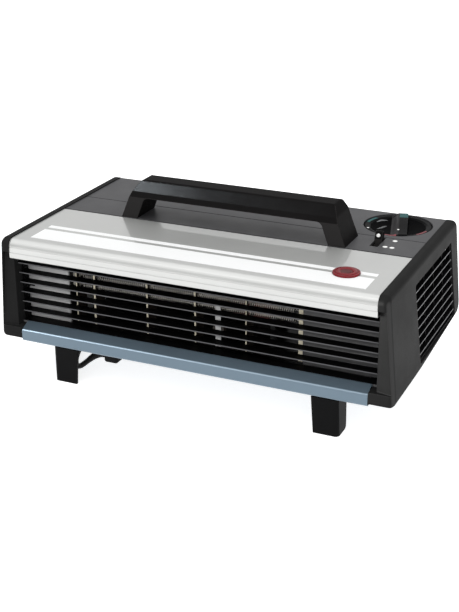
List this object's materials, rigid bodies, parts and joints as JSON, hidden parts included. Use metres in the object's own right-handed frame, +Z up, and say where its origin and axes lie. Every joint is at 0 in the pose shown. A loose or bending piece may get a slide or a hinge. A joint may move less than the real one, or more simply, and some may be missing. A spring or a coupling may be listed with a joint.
{
  "type": "fan heater",
  "caption": "Low, wide electric fan heater: silver and grey case with end caps, front louvres, side vents, carrying handle, round thermostat dial, sliding selector, pilot light and mains cord.",
  "frame": {"origin": "on the floor, under the middle of the case", "axes": "+Z up, +X along the case to the side with the controls, -Y the louvred front that blows warm air"},
  "size_m": [0.4702, 0.3646, 0.2063],
  "materials": {
    "silver_enamel": "satin",
    "grey_moulding": "fine grain",
    "charcoal_moulding": "fine grain",
    "black_moulding": "satin",
    "blue_enamel": "satin",
    "grey_enamel": "satin",
    "white_trim": "gloss",
    "red_lens": "clear gloss",
    "zinc_steel": "dull zinc",
    "core_steel": "laminated",
    "fan_aluminium": "dull",
    "bush_brass": "sintered",
    "winding_tape": "varnished",
    "mica": "flaky",
    "ceramic": "glazed",
    "resistance_wire": "oxidised",
    "inner_moulding": "matt",
    "lamp_glass": "clear",
    "wire_insulation": "matt",
    "cord_rubber": "matt",
    "pin_brass": "polished"
  },
  "bodies": {
    "heater": {"front_cover": "silver_enamel", "control_panel": "grey_moulding", "right_end_cap": "charcoal_moulding", "left_end_cap": "charcoal_moulding", "right_vent_grille": "charcoal_moulding", "left_vent_grille": "charcoal_moulding", "front_grille": "charcoal_moulding", "handle": "black_moulding", "front_right_foot": "black_moulding", "front_left_foot": "black_moulding", "rear_right_foot": "black_moulding", "rear_left_foot": "black_moulding", "base_tray": "blue_enamel", "rear_panel": "grey_enamel", "trim_stripes": "white_trim", "pilot_lens": "red_lens", "pilot_bezel": "red_lens", "handle_screws": "zinc_steel", "case_screws": "zinc_steel", "foot_screws": "zinc_steel", "thermostat_nut": "zinc_steel", "left_baffle": "zinc_steel", "right_baffle": "zinc_steel", "heat_shield": "zinc_steel", "blower_scroll": "zinc_steel", "blower_tongue": "zinc_steel", "blower_end_plate": "zinc_steel", "motor_screws": "zinc_steel", "motor_mount": "zinc_steel", "element_frame": "zinc_steel", "cutout_bracket": "zinc_steel", "motor_core": "core_steel", "left_motor_bracket": "fan_aluminium", "right_motor_bracket": "fan_aluminium", "shaft_bush": "bush_brass", "motor_winding": "winding_tape", "mica_cards": "mica", "coil_terminals": "ceramic", "upper_heating_coil": "resistance_wire", "lower_heating_coil": "resistance_wire", "thermostat_body": "inner_moulding", "selector_switch": "inner_moulding", "lamp_holder": "inner_moulding", "thermal_cutout": "inner_moulding", "terminal_block": "inner_moulding", "neon_lamp": "lamp_glass", "wiring": "wire_insulation", "cord_gland": "cord_rubber", "power_cord": "cord_rubber", "cord_coil": "cord_rubber", "cord_tie": "cord_rubber", "plug_lead": "cord_rubber", "plug_body": "cord_rubber", "plug_pins": "pin_brass"},
    "fan": {"impeller": "fan_aluminium", "fan_shaft": "zinc_steel", "motor_rotor": "core_steel"},
    "dial": {"thermostat_knob": "black_moulding", "thermostat_spindle": "zinc_steel"},
    "selector": {"selector_lever": "black_moulding"}
  },
  "joints": [
    {"name": "fan_spin", "type": "hinge", "parent": "heater", "child": "fan", "pos_m": [0, 0.01725, 0.1], "axis": [1, 0, 0], "continuous": true},
    {"name": "dial_turn", "type": "hinge", "parent": "heater", "child": "dial", "pos_m": [0.1675, 0.08575, 0.16], "axis": [0, 0, 1], "range_deg": [-135, 135]},
    {"name": "selector_slide", "type": "slide", "parent": "heater", "child": "selector", "axis": [0, -1, 0], "range_m": [0, 0.015]}
  ]
}
